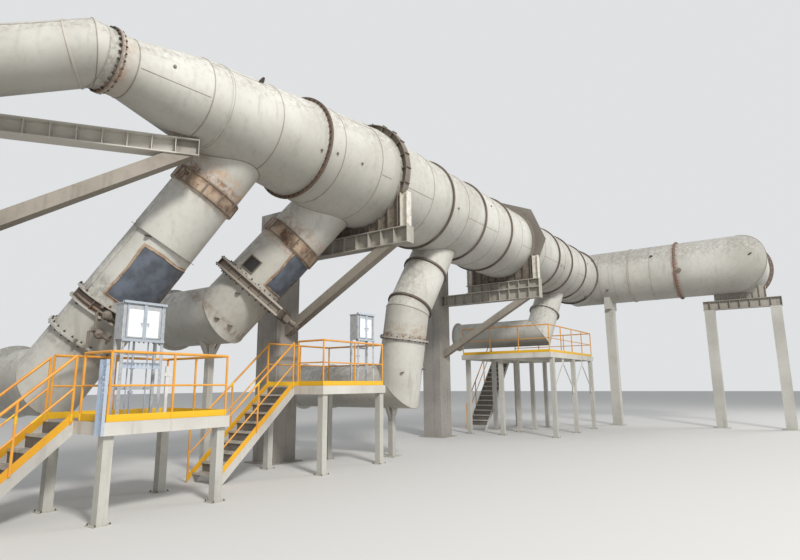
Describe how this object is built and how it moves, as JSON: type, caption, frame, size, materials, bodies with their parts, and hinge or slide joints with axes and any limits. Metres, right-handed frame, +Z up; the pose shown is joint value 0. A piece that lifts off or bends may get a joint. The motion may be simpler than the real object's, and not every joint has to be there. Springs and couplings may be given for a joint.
{
  "type": "hot gas duct main with branch ducts",
  "caption": "Overhead hot gas duct main on bracket columns, tapering at the inlet, turning at the far end, with sloping branch ducts and service platforms.",
  "frame": {"origin": "on the floor under the middle of bracket column 1, the column nearest the branch that leaves the taper's end", "axes": "+X along the main from its inlet to its corner, +Y towards the building side where the branches run, +Z up"},
  "size_m": [29.8224, 13.36, 9.13],
  "materials": {
    "bright_steel": "matt, weathered",
    "cabinets": "matt, weathered",
    "columns": "matt, weathered",
    "dampers": "matt, weathered",
    "decks": "matt, weathered",
    "duct_shell": "matt, weathered",
    "guard_rails": "matt, weathered",
    "platform_posts": "matt, weathered",
    "ring_steel": "matt, weathered",
    "rusty_joints": "matt, weathered",
    "stairs": "matt, weathered"
  },
  "bodies": {
    "root": {"inlet_duct": "duct_shell", "inlet_cone": "duct_shell", "taper_duct": "duct_shell", "main_duct_1": "duct_shell", "main_duct_2": "duct_shell", "main_duct_3": "duct_shell", "corner_duct": "duct_shell", "end_duct": "duct_shell", "stiffener_rings": "ring_steel", "ring_girder_1": "ring_steel", "ring_girder_2": "ring_steel", "saddles": "ring_steel", "bracket_beams": "columns", "bracket_struts": "columns", "bracket_columns": "columns", "corner_column": "columns", "end_columns": "columns", "end_girder": "columns", "branch_1_duct": "duct_shell", "branch_1_joint": "rusty_joints", "branch_1_middle": "duct_shell", "branch_1_damper": "dampers", "branch_1_tie_rods": "dampers", "branch_1_lower": "duct_shell", "branch_1_elbow": "duct_shell", "branch_1_run": "duct_shell", "branch_2_duct": "duct_shell", "branch_2_joint": "rusty_joints", "branch_2_lower": "duct_shell", "branch_2_damper": "dampers", "branch_2_elbow": "duct_shell", "branch_2_run": "duct_shell", "branch_2_post": "columns", "branch_3_duct": "duct_shell", "branch_3_bend": "duct_shell", "branch_3_elbow": "duct_shell", "branch_3_run": "duct_shell", "branch_3_post": "columns", "branch_4_duct": "duct_shell", "branch_4_elbow": "duct_shell", "branch_4_run": "duct_shell", "platform_1_deck": "decks", "platform_1_posts": "platform_posts", "platform_1_railing": "guard_rails", "stair_1": "stairs", "platform_2_deck": "decks", "platform_2_posts": "platform_posts", "platform_2_railing": "guard_rails", "stair_2": "stairs", "platform_3_deck": "decks", "platform_3_posts": "platform_posts", "platform_3_railing": "guard_rails", "stair_3": "stairs", "platform_3_braces": "bright_steel", "panel_1": "cabinets", "panel_2": "cabinets", "cable_tray": "bright_steel"}
  },
  "joints": []
}
